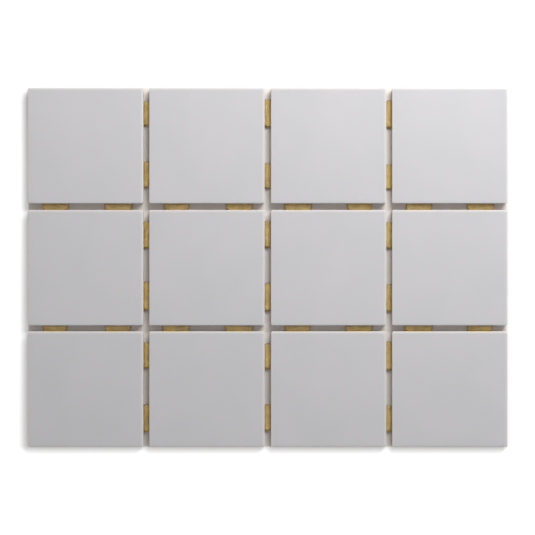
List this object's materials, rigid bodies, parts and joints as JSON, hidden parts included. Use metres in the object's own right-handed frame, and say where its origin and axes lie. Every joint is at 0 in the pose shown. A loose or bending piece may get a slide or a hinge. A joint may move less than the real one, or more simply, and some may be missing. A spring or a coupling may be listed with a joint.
{
  "type": "mosaic tile sheet",
  "caption": "Flat sheet of square light grey glazed wall tiles with open grout joints, held together by poured plastic dots on the back.",
  "frame": {"origin": "under the middle of the sheet, on the plane of the dots' undersides", "axes": "+X along the longer side, +Y across it towards row 1, +Z out of the glazed faces"},
  "size_m": [0.403, 0.3014, 0.007],
  "materials": {
    "glazed_tile": "smooth satin-gloss light grey glaze on a pale fired body",
    "mounting_dot": "translucent amber poured plastic"
  },
  "bodies": {
    "root": {"dot_c1c2_r1_lower": "mounting_dot", "dot_c1c2_r1_upper": "mounting_dot", "dot_c1c2_r2_lower": "mounting_dot", "dot_c1c2_r2_upper": "mounting_dot", "dot_c1c2_r3_lower": "mounting_dot", "dot_c1c2_r3_upper": "mounting_dot", "dot_c2c3_r1_lower": "mounting_dot", "dot_c2c3_r1_upper": "mounting_dot", "dot_c2c3_r2_lower": "mounting_dot", "dot_c2c3_r2_upper": "mounting_dot", "dot_c2c3_r3_lower": "mounting_dot", "dot_c2c3_r3_upper": "mounting_dot", "dot_c3c4_r1_lower": "mounting_dot", "dot_c3c4_r1_upper": "mounting_dot", "dot_c3c4_r2_lower": "mounting_dot", "dot_c3c4_r2_upper": "mounting_dot", "dot_c3c4_r3_lower": "mounting_dot", "dot_c3c4_r3_upper": "mounting_dot", "dot_r1r2_c1_left": "mounting_dot", "dot_r1r2_c1_right": "mounting_dot", "dot_r1r2_c2_left": "mounting_dot", "dot_r1r2_c2_right": "mounting_dot", "dot_r1r2_c3_left": "mounting_dot", "dot_r1r2_c3_right": "mounting_dot", "dot_r1r2_c4_left": "mounting_dot", "dot_r1r2_c4_right": "mounting_dot", "dot_r2r3_c1_left": "mounting_dot", "dot_r2r3_c1_right": "mounting_dot", "dot_r2r3_c2_left": "mounting_dot", "dot_r2r3_c2_right": "mounting_dot", "dot_r2r3_c3_left": "mounting_dot", "dot_r2r3_c3_right": "mounting_dot", "dot_r2r3_c4_left": "mounting_dot", "dot_r2r3_c4_right": "mounting_dot", "tile_r1_c1": "glazed_tile", "tile_r1_c2": "glazed_tile", "tile_r1_c3": "glazed_tile", "tile_r1_c4": "glazed_tile", "tile_r2_c1": "glazed_tile", "tile_r2_c2": "glazed_tile", "tile_r2_c3": "glazed_tile", "tile_r2_c4": "glazed_tile", "tile_r3_c1": "glazed_tile", "tile_r3_c2": "glazed_tile", "tile_r3_c3": "glazed_tile", "tile_r3_c4": "glazed_tile"}
  },
  "joints": []
}
